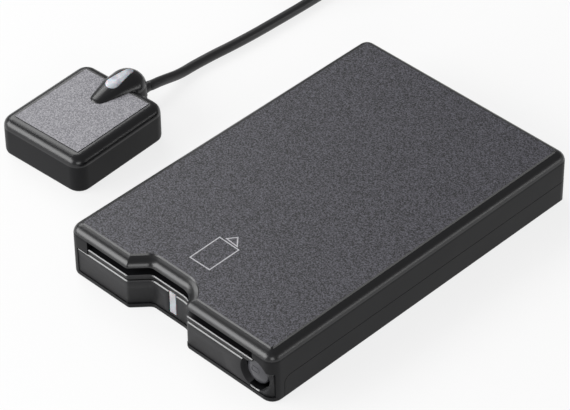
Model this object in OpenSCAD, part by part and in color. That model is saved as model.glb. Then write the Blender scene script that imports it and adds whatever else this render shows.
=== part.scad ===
// Toll transponder: main unit with its card reader, and the small antenna box on its cable.
// Millimetres, +Z up. The origin is the middle of the main unit's underside, and the card slot faces -Y.

/* [Main unit] */
// Width of the main unit
body_w = 68; // [67:0.5:74]
// Depth of the main unit
body_d = 103; // [102:0.5:112]
// Height of the main unit
body_h = 15; // [14.8:0.1:17]
// Wall thickness of the mouldings
wall = 1.5; // [1.3:0.1:1.7]
// Plan radius of the main unit's corners
corner_r = 2.9; // [2.6:0.1:4]
// Radius of the rounded top edge
edge_round = 2.6; // [2:0.1:2.8]
// Height that the textured top stands above the rounded edge
top_raise = 0.4; // [0.2:0.1:0.6]
// Width of the bevel round the textured top
top_bevel = 0.65; // [0.4:0.05:0.9]
// Radius of the lower edge
base_round = 0.8; // [0.5:0.1:1]
// Height of the line between the two covers
split_h = 6.4; // [5.8:0.1:6.8]
// Gap in the lines between mouldings
seam = 0.12; // [0.08:0.02:0.2]

/* [Finger recess] */
// Depth of the recess in the front
recess_depth = 4.3; // [3.5:0.1:4.8]
// Distance of the recess's left end from the middle
recess_left = 13.9; // [12:0.1:16]
// Width of the sloping side
recess_slope = 4; // [3:0.1:5]
// Place of the curved side's centre right of the middle
recess_arc_x = 0.3; // [-1:0.1:1]
// Radius of the curved side
recess_arc_r = 5.4; // [5:0.1:6]
// Radius of the recess's inner left corner
recess_corner_r = 2; // [1:0.1:3]

/* [Card and slot] */
// Width of the card
card_w = 53.98; // [53.5:0.01:54.5]
// Length of the card
card_l = 85.6; // [85:0.1:86]
// Thickness of the card
card_t = 0.76; // [0.7:0.02:0.8]
// Side play of the card in the slot, both sides together
slot_play = 1.1; // [0.8:0.1:1.4]
// Height of the slot
slot_h = 2.3; // [2:0.1:2.5]
// Thickness of the card guide's floor
guide_t = 1.15; // [1:0.05:1.3]
// Distance that the pushed card moves out
card_throw = 9; // [6:0.5:10]

/* [Front panel] */
// Height of the rim under the front panel
rim_h = 1.6; // [1.6:0.1:1.8]
// Height of the front panel
panel_h = 6.9; // [6.4:0.1:7]
// Gap round the front panel
panel_gap = 0.15; // [0.1:0.01:0.2]
// Shadow gap between the panel and the card guide
shadow_gap = 0.55; // [0.4:0.05:0.7]
// Distance of the panel's left end from the unit's side
panel_margin = 3; // [2.5:0.1:4]
// Distance that the panel runs round the right corner
panel_wrap = 1.35; // [1:0.05:1.8]
// Width of the light bar
bar_w = 2.1; // [1.6:0.1:2.6]
// Distance of the light bar's middle left of the unit's middle
bar_offset = 3.05; // [2.6:0.05:4]

/* [Eject button] */
// Distance of the button's axis from the unit's right side
button_inset = 5.9; // [5.6:0.1:6.4]
// Height of the button's axis
button_z = 6.4; // [6.2:0.1:6.5]
// Radius of the hole round the button
button_hole_r = 4.5; // [4.2:0.1:4.6]
// Radius of the button
button_r = 3.35; // [3:0.05:3.5]
// Travel of the button
button_travel = 3; // [2.4:0.1:3]

/* [Antenna] */
// Width of the antenna box
ant_w = 28; // [26:0.5:32]
// Depth of the antenna box
ant_d = 31.5; // [30:0.5:36]
// Height of the antenna box
ant_h = 10.5; // [10:0.1:12]
// Plan radius of the antenna box's corners
ant_corner_r = 3.5; // [3:0.1:4]
// Radius of the antenna box's top edge
ant_round = 2.6; // [2:0.1:2.8]
// Wall thickness of the antenna box
ant_wall = 1.6; // [1.4:0.1:1.8]
// Place of the antenna box left of the main unit's middle
ant_x = 67.5; // [60:0.5:90]
// Place of the antenna box's middle in front of the main unit's middle
ant_y = 16.5; // [-10:0.5:30]
// Turn of the antenna box
ant_turn = 3; // [0:0.5:10]
// Height of the boss above the antenna box
boss_rise = 2.6; // [2.3:0.1:3.2]
// Half width of the boss
boss_r = 5; // [4.6:0.1:5.6]

/* [Antenna cable] */
// Diameter of the cable
cable_d = 2.7; // [2.4:0.1:2.7]
// Height at which the cable leaves the boss
cable_exit_z = 4.2; // [4:0.1:4.4]
// Turns of the coil in each of its layers
coil_turns = 5.5; // [3.5:0.5:5.5]
// Radius of the innermost turn, to the cable's middle
coil_inner_r = 14; // [14:0.5:18]
// Step from turn to turn and from layer to layer
coil_pitch = 3.2; // [3.2:0.1:3.6]

/* [Hidden] */

cut = 0.5; // overrun of every cut
touch = 0.05; // sink of a detail into the piece that it is part of
snug = 0.02; // radial clearance of screws and pressed pins
run_fit = 0.05; // radial clearance of turning and sliding pins
rest_gap = 0.3; // gap of moving pieces at rest
fine = 32; // facets of larger round shapes
coarse = 16; // facets of screws, pins and small holes
soft = 24; // facets of rounded mouldings

front = -body_d / 2;
back = body_d / 2;
side = body_w / 2;
ceiling = body_h - wall;
inner_side = side - wall;
inner_back = back - wall;
guide_z = rim_h + panel_gap + panel_h + shadow_gap;
slot_z = guide_z + guide_t;
slot_side = (card_w + slot_play) / 2;
panel_z = rim_h + panel_gap;
panel_left = side - panel_margin;
button_x = side - button_inset;

// Main unit's outline, set in by d: corner arcs, and the recess between two of them
corner_steps = 6;
bend_steps = 4;
arc_steps = 9;
lip_steps = 4;
knee_steps = 3;
recess_lip_r = 1.5;
recess_knee_r = 1.2;
least_r = 0.2;
recess_floor = front + recess_depth;
arc_y = recess_floor - recess_arc_r;
slope_dir = atan2(recess_depth, recess_slope);
bend_run = recess_corner_r * tan(slope_dir / 2);
bend = [-recess_left + recess_slope + bend_run, recess_floor - recess_corner_r];

function arc(c, r, from, to, steps) =
    [for (i = [0:steps]) let (a = from + (to - from) * i / steps) c + r * [cos(a), sin(a)]];

function corner(x, y, w, d, r, steps) =
    let (from = x < 0 ? (y < 0 ? 180 : 90) : (y < 0 ? 270 : 0))
    arc([x * (w - r), y * (d - r)], r, from, from + 90, steps);

function outline(d) =
    let (r = max(corner_r - d, least_r), w = side - d, l = back - d, lip = max(recess_lip_r - d, least_r),
        knee = max(recess_knee_r - d, least_r),
        lip_x = recess_arc_x + sqrt(pow(recess_arc_r + d + lip, 2) - pow(front + d + lip - arc_y, 2)),
        lip_dir = atan2(front + d + lip - arc_y, lip_x - recess_arc_x))
    concat(corner(-1, -1, w, l, r, corner_steps),
        arc([-recess_left - (d + knee) * tan(slope_dir / 2), front + d + knee], knee, 270, 270 + slope_dir, knee_steps),
        arc(bend, recess_corner_r + d, 90 + slope_dir, 90, bend_steps),
        arc([recess_arc_x, arc_y], recess_arc_r + d, 90, lip_dir, arc_steps),
        [for (k = [1:lip_steps]) arc([lip_x, front + d + lip], lip, lip_dir + 180, 270, lip_steps)[k]],
        corner(1, -1, w, l, r, corner_steps),
        corner(1, 1, w, l, r, corner_steps),
        corner(-1, 1, w, l, r, corner_steps));

// A solid through rings of the same number of points, each a list of [x, y] with its height
module loft(rings) {
    n = len(rings[0][0]);
    last = len(rings) - 1;
    polyhedron(
        [for (ring = rings) for (q = ring[0]) [q[0], q[1], ring[1]]],
        concat([[for (k = [0:n - 1]) k], [for (k = [n - 1:-1:0]) last * n + k]],
            [for (i = [0:last - 1], k = [0:n - 1])
                let (a = i * n + k, b = i * n + (k + 1) % n) each [[a, a + n, b], [b, a + n, b + n]]]),
        convexity = 6);
}

module rounded_plan(w, d, r) {
    square([w - 2 * r, d], center = true);
    square([w, d - 2 * r], center = true);
    for (x = [-1, 1], y = [-1, 1]) translate([x * (w / 2 - r), y * (d / 2 - r)]) circle(r, $fn = fine);
}

module inset_plan(d) polygon(outline(d));

// A bar whose plan is the body's wall, from one inset to another
module wall_ring(from, to) difference() {
    inset_plan(from);
    inset_plan(to);
}

module slab(z, h) translate([0, 0, z]) linear_extrude(h) children();

module box(low, high) translate(low) cube(high - low);

module screw(head_r, head_h, shank_r, length) {
    cylinder(r = head_r, h = head_h, $fn = coarse);
    slab(head_h - touch, length - head_h + touch) circle(shank_r, $fn = coarse);
}

// Top cover
base_steps = 3;
edge_steps = 6;
bevel_start = edge_round - 0.25;
bevel_dir = 180 - acos((edge_round - bevel_start) / edge_round);
skirt_front = front + 4.05;
skirt_corner_r = 2;
ledge_back = recess_floor + wall;
tongue_t = 0.6;
tongue_h = 0.9;
rib_t = 0.8;
rib_z = slot_z + 1.5;
rib_places = [-22, -13, 13, 22];
rib_front = front + 8;
rib_end = front + 84;
panel_right = side - 2.5;

case_boss_r = 2.6;
case_boss_x = inner_side - case_boss_r - cut;
case_boss_y = inner_back - case_boss_r - cut;
case_screw_r = 1;
case_head_r = 2;
case_head_h = 1.2;
case_head_z = 0.5;
case_screw_l = 10;
screw_way = 0.25;

// The block that the cover is cut from: rounded base, upright sides, rounded top edge and raised top
module body_block() loft(concat(
    [for (q = arc([base_round, base_round], base_round, 270, 180, base_steps)) [outline(q[0]), q[1]]],
    [for (q = arc([edge_round, body_h - top_raise - edge_round], edge_round, 180, bevel_dir, edge_steps))
        [outline(q[0]), q[1]]],
    [[outline(bevel_start + top_bevel), body_h]]));

module skirt_side_plan(grow) {
    // profile in Y and Z of the lower cover's side wall
    r = skirt_corner_r;
    translate([skirt_front - grow, -cut]) square([body_d + cut, split_h - r + cut]);
    translate([skirt_front - grow + r, -cut]) square([body_d + cut, split_h + grow + cut]);
    translate([skirt_front - grow + r, split_h + grow - r]) circle(r, $fn = fine);
}

module skirt_slab(x0, x1, grow) for (s = [-1, 1]) scale([s, 1, 1])
    translate([x0, 0, 0]) rotate([90, 0, 90]) linear_extrude(x1 - x0) skirt_side_plan(grow);

module panel_window(grow, low, high) {
    box([-panel_left - grow, front - cut, low], [panel_right, ledge_back + cut, high]);
    box([panel_right - cut, front - cut, low], [side + cut, front + panel_wrap + grow, high]);
}

module button_axis(y0, y1, r) translate([button_x, y0, button_z]) rotate([-90, 0, 0])
    cylinder(r = r, h = y1 - y0, $fn = fine);

module rear_openings(grow) {
    box([jack_x - jack_w / 2 - grow, inner_back - cut, header_z - grow],
        [jack_x + jack_w / 2 + grow, back + cut, header_z + jack_h + grow]);
    box([power_x - power_w / 2 - grow, inner_back - cut, header_z - grow],
        [power_x + power_w / 2 + grow, back + cut, header_z + power_h + grow]);
}

module top_cover() color("#37373b") {
    difference() {
        body_block();
        slab(wall, ceiling - wall) inset_plan(wall);
        box([-inner_side - touch, ledge_back, -cut], [inner_side + touch, inner_back + touch, split_h + seam]);
        skirt_slab(inner_side, side + cut, seam);
        box([-side - cut, inner_back, -cut], [side + cut, back + cut, split_h + seam]);
        difference() {
            box([-inner_side - tongue_t - seam, skirt_front + skirt_corner_r, split_h],
                [inner_side + tongue_t + seam, inner_back + tongue_t + seam, split_h + tongue_h + seam]);
            box([-inner_side, front, split_h - cut], [inner_side, inner_back, split_h + tongue_h + cut]);
        }
        panel_window(panel_gap, rim_h, panel_z + panel_h + panel_gap);
        box([-slot_side, front - cut, guide_z - shadow_gap], [slot_side, ledge_back + cut, slot_z + slot_h]);
        button_axis(front - cut, front + wall + cut, button_hole_r);
        rear_openings(seam);
    }
    // ribs that hold the card down
    for (x = rib_places) box([x - rib_t / 2, rib_front, rib_z], [x + rib_t / 2, rib_end, ceiling + touch]);
    // screw bosses
    for (s = [-1, 1]) difference() {
        translate([s * case_boss_x, case_boss_y, split_h + seam])
            cylinder(r = case_boss_r, h = ceiling - split_h, $fn = fine);
        translate([s * case_boss_x, case_boss_y, split_h - cut])
            cylinder(r = case_screw_r + snug, h = case_head_z + case_screw_l - split_h + 2 * cut, $fn = fine);
    }
}

// Bottom cover
floor_front = ledge_back + seam;
board_z = 2.7;
board_t = 1.2;
board_top = board_z + board_t;
board_boss_r = 2.2;
board_screw_r = 0.8;
board_places = [[-29, 16], [29.4, 33], [-29, 86], [21, 97]];
slot_pitch = 2.4;
slot_w = 1.2;
slot_l = 10;
slot_count = 5;
speaker_x = -17;
speaker_y = front + 27;
speaker_r = 8;
speaker_h = 4.4;
hook_w = 8;
hook_l = 2.2;
hook_t = 0.8;
hook_x = 18;

module skirt_block() intersection() {
    slab(0, split_h + tongue_h) rounded_plan(body_w, body_d, corner_r);
    rotate([90, 0, 0]) translate([0, 0, -back - cut]) linear_extrude(body_d + 2 * cut) {
        translate([-side, base_round]) square([body_w, body_h]);
        translate([-side + base_round, 0]) square([body_w - 2 * base_round, body_h]);
        for (s = [-1, 1]) translate([s * (side - base_round), base_round]) circle(base_round, $fn = coarse);
    }
    rotate([90, 0, 90]) translate([0, 0, -side - cut]) linear_extrude(body_w + 2 * cut) {
        translate([front, base_round]) square([body_d, body_h]);
        translate([front, 0]) square([body_d - base_round, body_h]);
        translate([back - base_round, base_round]) circle(base_round, $fn = coarse);
    }
}

module bottom_cover() color("#242427") difference() {
    union() {
        difference() {
            skirt_block();
            // inside
            box([-inner_side, floor_front, wall], [inner_side, inner_back, body_h]);
            box([-inner_side - seam, front - cut, -cut], [inner_side + seam, floor_front, body_h]);
            box([-side - cut, front - cut, -cut], [side + cut, skirt_front, body_h]);
            // above the line, only the tongue stays
            difference() {
                box([-side - cut, front - cut, split_h], [side + cut, back + cut, body_h]);
                box([-inner_side - tongue_t, skirt_front + skirt_corner_r + seam, split_h - cut],
                    [inner_side + tongue_t, inner_back + tongue_t, body_h]);
            }
            // rounded front corner of the side walls
            for (s = [-1, 1]) scale([s, 1, 1]) difference() {
                box([inner_side - cut, skirt_front - cut, split_h - skirt_corner_r],
                    [side + cut, skirt_front + skirt_corner_r, split_h + cut]);
                translate([inner_side - 2 * cut, skirt_front + skirt_corner_r, split_h - skirt_corner_r])
                    rotate([0, 90, 0]) cylinder(r = skirt_corner_r, h = wall + 4 * cut, $fn = fine);
            }
        }
        for (s = [-1, 1]) translate([s * case_boss_x, case_boss_y, 0])
            cylinder(r = case_boss_r, h = split_h, $fn = fine);
        for (p = board_places) translate([p[0], front + p[1], wall - touch])
            cylinder(r = board_boss_r, h = board_z - wall + touch, $fn = fine);
        // hooks that slide over the upper cover's ledge
        for (s = [-1, 1]) {
            box([s * hook_x - hook_w / 2, floor_front, wall - touch],
                [s * hook_x + hook_w / 2, floor_front + hook_l, wall + seam + hook_t]);
            box([s * hook_x - hook_w / 2, floor_front - hook_l, wall + seam],
                [s * hook_x + hook_w / 2, floor_front + hook_l, wall + seam + hook_t]);
        }
    }
    for (s = [-1, 1]) translate([s * case_boss_x, case_boss_y, -cut]) {
        cylinder(r = case_head_r + screw_way, h = case_head_z + case_head_h + cut, $fn = fine);
        cylinder(r = case_screw_r + screw_way, h = split_h + 2 * cut, $fn = fine);
    }
    for (p = board_places) translate([p[0], front + p[1], base_round])
        cylinder(r = board_screw_r + snug, h = board_z, $fn = fine);
    for (i = [0:slot_count - 1])
        translate([speaker_x, speaker_y + (i - (slot_count - 1) / 2) * slot_pitch, -cut])
            linear_extrude(wall + 2 * cut) {
                square([slot_l - slot_w, slot_w], center = true);
                for (s = [-1, 1]) translate([s * (slot_l - slot_w) / 2, 0]) circle(slot_w / 2, $fn = coarse);
            }
    rear_openings(seam);
}

// Front panel and light bar
panel_set = 0.12;
flange_t = 0.8;
flange_side = 0.7;
flange_in = wall + seam;
collar_t = 0.8;
collar_l = 3;
bar_low = 2.6;
bar_gap = 0.45;
pipe_t = 1.6;
pipe_arm_l = 6;
pipe_arm_z = 4.9;
pipe_arm_h = 2.6;
led_t = 0.7;
led_w = 1.6;

module panel_span(grow) {
    translate([-panel_left - grow, front - cut]) square([panel_left + grow + panel_right, recess_depth + wall + 3]);
    translate([panel_right - cut, front - cut]) square([panel_margin + cut, panel_wrap + cut]);
}

module front_panel() color("#3f3f43") difference() {
    union() {
        slab(panel_z, panel_h) intersection() {
            wall_ring(panel_set, flange_in + flange_t);
            panel_span(0);
        }
        slab(panel_z, panel_h) intersection() {
            wall_ring(flange_in, flange_in + flange_t);
            panel_span(flange_side);
        }
        intersection() {
            button_axis(front + wall, front + wall + collar_l, button_hole_r + collar_t);
            slab(panel_z, guide_z - seam - panel_z) inset_plan(flange_in);
        }
    }
    button_axis(front - cut, front + wall + collar_l + cut, button_hole_r);
    box([-bar_offset - bar_w / 2 - bar_gap, front, bar_low - seam],
        [-bar_offset + bar_w / 2 + seam, back, body_h]);
}

module light_pipe() color("#d9d9de") {
    slab(bar_low, guide_z - seam - bar_low) intersection() {
        wall_ring(0, pipe_t);
        translate([-bar_offset - bar_w / 2, front]) square([bar_w, body_d / 2]);
    }
    box([-bar_offset - bar_w / 2, recess_floor + pipe_t - touch, pipe_arm_z],
        [-bar_offset + bar_w / 2, recess_floor + pipe_t + pipe_arm_l, pipe_arm_z + pipe_arm_h]);
}

module status_led() color("#f2efe2")
    translate([-bar_offset - led_w / 2, recess_floor + pipe_t + pipe_arm_l - led_w - cut, board_top])
        cube([led_w, led_w, led_t]);

// Eject button, its spring and the lever that pushes the card out
cap_front = front + 0.45;
cap_l = 4.6;
dome_h = 0.9;
rod_w = 2.4;
rod_h = 2.8;
lever_y = front + 90;
lever_arm = 5.5;
lever_reach = lever_arm * card_throw / button_travel;
lever_w = 3;
rod_end = lever_y - lever_w / 2 - rest_gap;
lever_t = 1.6;
lever_z = button_z - lever_t / 2;
lever_x = button_x - lever_arm;
tip_x = lever_x - lever_reach;
pivot_r = 1;
hub_r = 2.8;
hub_h = guide_z - lever_z - rest_gap;
pivot_head_r = 1.9;
pivot_head_h = 0.6;
gate_t = 4;
gate_wall = 1.05;
gate_places = [15, 44, 72];
gate_y = front + gate_places[0];
spring_r = 2.3;
spring_wire = 0.4;
spring_turns = 7;
spring_steps = 8;
lug_h = 0.5;
lug_l = 2;

module dome(r, h, y) translate([button_x, y, button_z]) rotate([90, 0, 0]) rotate_extrude($fn = fine)
    polygon(concat([[0, 0]], arc([0, h - (r * r + h * h) / (2 * h)], (r * r + h * h) / (2 * h),
        asin(1 - 2 * h * h / (r * r + h * h)), 90, arc_steps)));

module eject_button() color("#3a3a3e") {
    button_axis(cap_front + dome_h, cap_front + cap_l, button_r);
    dome(button_r, dome_h, cap_front + dome_h);
    box([button_x - rod_w / 2, cap_front + cap_l - touch, button_z - rod_h / 2],
        [button_x + rod_w / 2, rod_end - rod_w / 2, button_z + rod_h / 2]);
    translate([button_x, rod_end - rod_w / 2, button_z - rod_h / 2]) cylinder(r = rod_w / 2, h = rod_h, $fn = fine);
    // lug that keeps the button in its first gate
    box([button_x - rod_w / 2, gate_y + gate_t + rest_gap, button_z - rod_h / 2 - lug_h],
        [button_x + rod_w / 2, gate_y + gate_t + rest_gap + lug_l, button_z]);
}

function sub(a, b) = [a[0] - b[0], a[1] - b[1], a[2] - b[2]];
function unit(v) = v / norm(v);
function tangent(p, i) = unit(sub(p[min(i + 1, len(p) - 1)], p[max(i - 1, 0)]));

// A tube of one polyhedron swept along points, its rings kept square to the path
module tube(p, r, sides, up = [0, 0, 1]) {
    n = len(p);
    points = [for (i = [0:n - 1])
        let (t = tangent(p, i), s = unit(cross(t, up)), u = cross(s, t))
        for (k = [0:sides - 1]) let (a = 360 * (k + 0.5) / sides) p[i] + r * (cos(a) * s + sin(a) * u)];
    ends = [[for (k = [0:sides - 1]) k], [for (k = [sides - 1:-1:0]) (n - 1) * sides + k]];
    sides_of = [for (i = [0:n - 2], k = [0:sides - 1])
        let (a = i * sides + k, b = i * sides + (k + 1) % sides)
        each [[a, a + sides, b], [b, a + sides, b + sides]]];
    polyhedron(points, concat(ends, sides_of), convexity = 4);
}

spring_start = cap_front + cap_l + spring_wire / 2 + touch;
spring_end = gate_y - spring_wire / 2 - touch;

module button_spring() color("#b9bcc0") translate([button_x, 0, button_z]) tube(
    [for (i = [0:spring_steps * spring_turns]) let (a = 360 * i / spring_steps, y = i / (spring_steps * spring_turns))
        [spring_r * cos(a), spring_start + (spring_end - spring_start) * y, spring_r * sin(a)]],
    spring_wire / 2, 6, [0, 1, 0.01]);

module eject_lever() color("#c9c6bd") difference() {
    union() {
        slab(lever_z, lever_t) {
            translate([tip_x, lever_y - lever_w / 2]) square([lever_reach + lever_arm, lever_w]);
            for (x = [tip_x, button_x]) translate([x, lever_y]) circle(lever_w / 2, $fn = fine);
        }
        translate([lever_x, lever_y, lever_z]) cylinder(r = hub_r, h = hub_h, $fn = fine);
    }
    translate([lever_x, lever_y, 0]) cylinder(r = pivot_r + run_fit, h = body_h, $fn = fine);
}

module lever_pivot() color("#b9bcc0") translate([lever_x, lever_y, lever_z - rest_gap]) {
    translate([0, 0, -pivot_head_h]) cylinder(r = pivot_head_r, h = pivot_head_h, $fn = fine);
    cylinder(r = pivot_r, h = guide_z + guide_t - lever_z + rest_gap, $fn = fine);
}

card_end = front + 1.2 + card_l;
pusher_w = 6;
pusher_t = 2;
pusher_top = slot_z + 1.5;
pusher_neck = 2.6;
pusher_plate_l = 4;
tab_reach = 4.4;
plate_gap = 0.2;
tab_back = rod_end;
pusher_front = card_end + rest_gap;

module card_pusher() color("#d6d3c8") {
    // plate that slides under the card guide's floor
    box([tip_x - pusher_w / 2, tab_back - pusher_plate_l - pusher_t, lever_z + lever_t + rest_gap],
        [tip_x + pusher_w / 2, pusher_front + pusher_t, guide_z - plate_gap]);
    // tab in front of the lever's tip
    box([tip_x - pusher_w / 2, tab_back - pusher_t, lever_z - rest_gap],
        [tip_x + tab_reach, tab_back, lever_z + lever_t + rest_gap + touch]);
    // neck in the slot and head behind the card
    box([tip_x - pusher_neck / 2, pusher_front, guide_z - plate_gap - touch],
        [tip_x + pusher_neck / 2, pusher_front + pusher_t, slot_z + plate_gap + touch]);
    box([tip_x - pusher_w / 2, pusher_front, slot_z + plate_gap],
        [tip_x + pusher_w / 2, pusher_front + pusher_t, pusher_top]);
}

// Card guide
guide_side = slot_side + 1.2;
guide_end = front + 92.5;
guide_front = ledge_back + 0.7;
guide_top = ceiling - plate_gap;
lip_set = 0.12;
leg_r = 1.7;
leg_places = [[-25, 14], [21, 14], [-25, 86], [22, 79]];
guide_screw_r = 0.8;
stop_l = 1.6;
window_lean = 3.1;
window_w = 10.2;
window_front = 65;
window_l = 13;
light_holes = [[-17, 24], [-17, 46], [12, 24], [12, 46]];
light_hole_w = 12;
light_hole_l = 16;

module card_guide() color("#1d1d20") difference() {
    union() {
        // floor, whose front edge follows the recess and shows under the slot
        slab(guide_z, guide_t) intersection() {
            inset_plan(lip_set);
            translate([-slot_side + lip_set, front - cut]) square([2 * (slot_side - lip_set), recess_depth + 4]);
        }
        box([-guide_side, guide_front, guide_z], [guide_side, guide_end, slot_z]);
        // side rails and the stop behind the card
        for (s = [-1, 1]) scale([s, 1, 1])
            box([slot_side, guide_front, slot_z - touch], [guide_side, guide_end, guide_top]);
        for (s = [-1, 1]) scale([s, 1, 1])
            box([slot_side - 3 * stop_l, card_end + rest_gap, slot_z - touch],
                [slot_side + touch, card_end + rest_gap + stop_l, guide_top]);
        for (p = leg_places) translate([p[0], front + p[1], board_top])
            cylinder(r = leg_r, h = guide_z - board_top + touch, $fn = fine);
        // gates that the button's rod slides through
        for (y = gate_places)
            box([button_x - rod_w / 2 - gate_wall, front + y, button_z - rod_h / 2 - gate_wall + seam],
                [button_x + rod_w / 2 + gate_wall, front + y + gate_t, guide_z + touch]);
    }
    for (y = gate_places)
        box([button_x - rod_w / 2 - seam, front + y - cut, button_z - rod_h / 2 - seam],
            [button_x + rod_w / 2 + seam, front + y + gate_t + cut, button_z + rod_h / 2 + seam]);
    button_axis(front - cut, cap_front + cap_l + button_travel + rest_gap, button_r + seam);
    for (p = leg_places) translate([p[0], front + p[1], board_top - cut])
        cylinder(r = guide_screw_r + snug, h = guide_z - board_top, $fn = fine);
    translate([lever_x, lever_y, 0]) cylinder(r = pivot_r + snug, h = body_h, $fn = fine);
    box([-window_lean - window_w / 2, front + window_front, guide_z - cut],
        [-window_lean + window_w / 2, front + window_front + window_l, slot_z + cut]);
    box([tip_x - pusher_neck / 2 - seam, pusher_front - card_throw - rest_gap, guide_z - cut],
        [tip_x + pusher_neck / 2 + seam, pusher_front + pusher_t + rest_gap, slot_z + cut]);
    for (p = light_holes) box([p[0] - light_hole_w / 2, front + p[1], guide_z - cut],
        [p[0] + light_hole_w / 2, front + p[1] + light_hole_l, slot_z + cut]);
}

// Card reader's connector
pad_pitch = 2.54;
pad_first = 11.25;
pad_columns = 7.62;
block_w = 12;
block_l = 12.4;
block_y = card_end - pad_first - pad_columns / 2;
block_top = slot_z - 0.35;
contact_w = 0.8;
contact_t = 0.2;
contact_l = 5;
contact_top = slot_z + 0.45;

module contact_block() color("#111113") difference() {
    union() {
        box([-window_lean - block_w / 2, block_y - block_l / 2, board_top],
            [-window_lean + block_w / 2, block_y + block_l / 2, guide_z - rest_gap]);
        box([-window_lean - window_w / 2 + seam, block_y - block_l / 2, board_top],
            [-window_lean + window_w / 2 - seam, block_y + block_l / 2, block_top]);
    }
    for (k = [-1.5:1.5]) box([-window_lean + k * pad_pitch - contact_w, block_y - block_l / 2 - cut, guide_z - wall],
        [-window_lean + k * pad_pitch + contact_w, block_y + block_l / 2 + cut, body_h]);
}

// One spring contact: a strip from its root up to the bend under the card and down again
module contact_strip(side_sign) {
    root = guide_z - wall;
    bend_h = contact_top - root;
    scale([1, side_sign, 1]) rotate([90, 0, 90]) linear_extrude(contact_w, center = true) polygon([
        [0, 0], [contact_l, 0], [contact_l, contact_t], [contact_t, contact_t],
        [contact_l - 3 * contact_t, bend_h - contact_t], [contact_l - contact_t, bend_h - 4 * contact_t],
        [contact_l, bend_h - 3 * contact_t], [contact_l - 3 * contact_t, bend_h], [0, 2 * contact_t]]);
}

module card_contacts() color("#d8b45a") for (k = [-1.5:1.5], s = [-1, 1])
    translate([-window_lean + k * pad_pitch, block_y + s * (pad_columns / 2 - contact_l + 3 * contact_t), guide_z - wall])
        contact_strip(s);

switch_w = 6;
switch_l = 3;
switch_h = 1.8;
switch_x = -16;

module card_switch() color("#1b1b1e") {
    box([switch_x - switch_w / 2, guide_end - switch_l, slot_z], [switch_x + switch_w / 2, guide_end, slot_z + switch_h]);
    box([switch_x - contact_w / 2, card_end + rest_gap, slot_z + contact_t],
        [switch_x + contact_w / 2, guide_end - switch_l + touch, slot_z + switch_h / 2]);
}

// Main board and what stands on it
board_side = inner_side - 0.6;
board_front = front + 9;
board_back = inner_back - 0.6;
speaker_way = 0.4;
can_w = 20;
can_l = 18;
can_h = 3.2;
can_x = 14.6;
can_y = front + 58;
can_t = 0.3;
can_hole_r = 0.7;
can_pitch = 5;
cap_r = 3.15;
cap_h = 5;
cap_base = 0.8;
cap_places = [[-22, 62], [-22, 70], [-14, 62]];
chip_places = [[-8, 46, 12, 1.4], [8, 34, 9, 1], [-22, 46, 7, 0.9], [10, 20, 6, 1]];
pin_pitch = 2;

module main_board() color("#1f5a3c") difference() {
    box([-board_side, board_front, board_z], [board_side, board_back, board_top]);
    for (s = [-1, 1]) translate([s * case_boss_x, case_boss_y, board_z - cut])
        cylinder(r = case_boss_r + 2 * screw_way, h = board_t + 2 * cut, $fn = fine);
    for (p = board_places) translate([p[0], front + p[1], board_z - cut])
        cylinder(r = board_screw_r + screw_way, h = board_t + 2 * cut, $fn = fine);
    for (p = leg_places) translate([p[0], front + p[1], board_z - cut])
        cylinder(r = guide_screw_r + screw_way, h = board_t + 2 * cut, $fn = fine);
    translate([speaker_x, speaker_y, board_z - cut])
        cylinder(r = speaker_r + speaker_way, h = board_t + 2 * cut, $fn = fine);
}

module shield_can() color("#c4c6c9") difference() {
    box([can_x - can_w / 2, can_y, board_top], [can_x + can_w / 2, can_y + can_l, board_top + can_h]);
    box([can_x - can_w / 2 + can_t, can_y + can_t, board_top - cut],
        [can_x + can_w / 2 - can_t, can_y + can_l - can_t, board_top + can_h - can_t]);
    for (i = [-1:1], j = [-1:1])
        translate([can_x + i * can_pitch, can_y + can_l / 2 + j * can_pitch, board_top + can_h - cut])
            cylinder(r = can_hole_r, h = 2 * cut, $fn = coarse);
}

module processor_chips() color("#151517") for (c = chip_places)
    translate([c[0] - c[2] / 2, front + c[1] - c[2] / 2, board_top]) cube([c[2], c[2], c[3]]);

module capacitors() color("#a9abae") for (p = cap_places) translate([p[0], front + p[1], board_top]) {
    translate([-cap_r, -cap_r, 0]) cube([2 * cap_r, 2 * cap_r, cap_base]);
    cylinder(r = cap_r, h = cap_h, $fn = fine);
}

speaker_rim = 0.8;
speaker_cone = 2.4;

module speaker() color("#2b2b2e") translate([speaker_x, speaker_y, wall]) difference() {
    rotate_extrude($fn = fine) polygon([
        [0, speaker_rim], [speaker_r - speaker_cone, speaker_rim], [speaker_r - speaker_rim, 0], [speaker_r, 0],
        [speaker_r, speaker_rim], [speaker_r - speaker_cone, speaker_h], [0, speaker_h]]);
    cylinder(r = 2 * slot_w, h = 2 * speaker_rim, $fn = fine);
}

// Rear sockets
header_z = board_top;
header_l = 10;
socket_depth = 8;
socket_wall = 1.1;
power_x = -16;
power_w = 16;
power_h = 6.8;
pin_w = 0.6;
pin_out = 3.2;
pin_columns = 5;
pin_rise = 2;
jack_x = 12;
jack_w = 8.8;
jack_h = 7.2;
socket_back = back - 0.2;

module socket(x, w, h, wall_t) difference() {
    box([x - w / 2, socket_back - header_l, header_z], [x + w / 2, socket_back, header_z + h]);
    box([x - w / 2 + wall_t, socket_back - socket_depth, header_z + wall_t],
        [x + w / 2 - wall_t, socket_back + cut, header_z + h - wall_t]);
}

module power_header() color("#e8e4d6") difference() {
    socket(power_x, power_w, power_h, socket_wall);
    for (i = [0:pin_columns - 1], j = [0, 1])
        box([power_pin_x(i) - pin_w / 2 - snug, socket_back - header_l - cut, power_pin_z(j) - pin_w / 2 - snug],
            [power_pin_x(i) + pin_w / 2 + snug, socket_back - socket_depth + cut, power_pin_z(j) + pin_w / 2 + snug]);
}

function power_pin_x(i) = power_x + (i - (pin_columns - 1) / 2) * pin_pitch * 1.2;
function power_pin_z(j) = header_z + power_h / 2 + (j - 0.5) * pin_rise;

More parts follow.
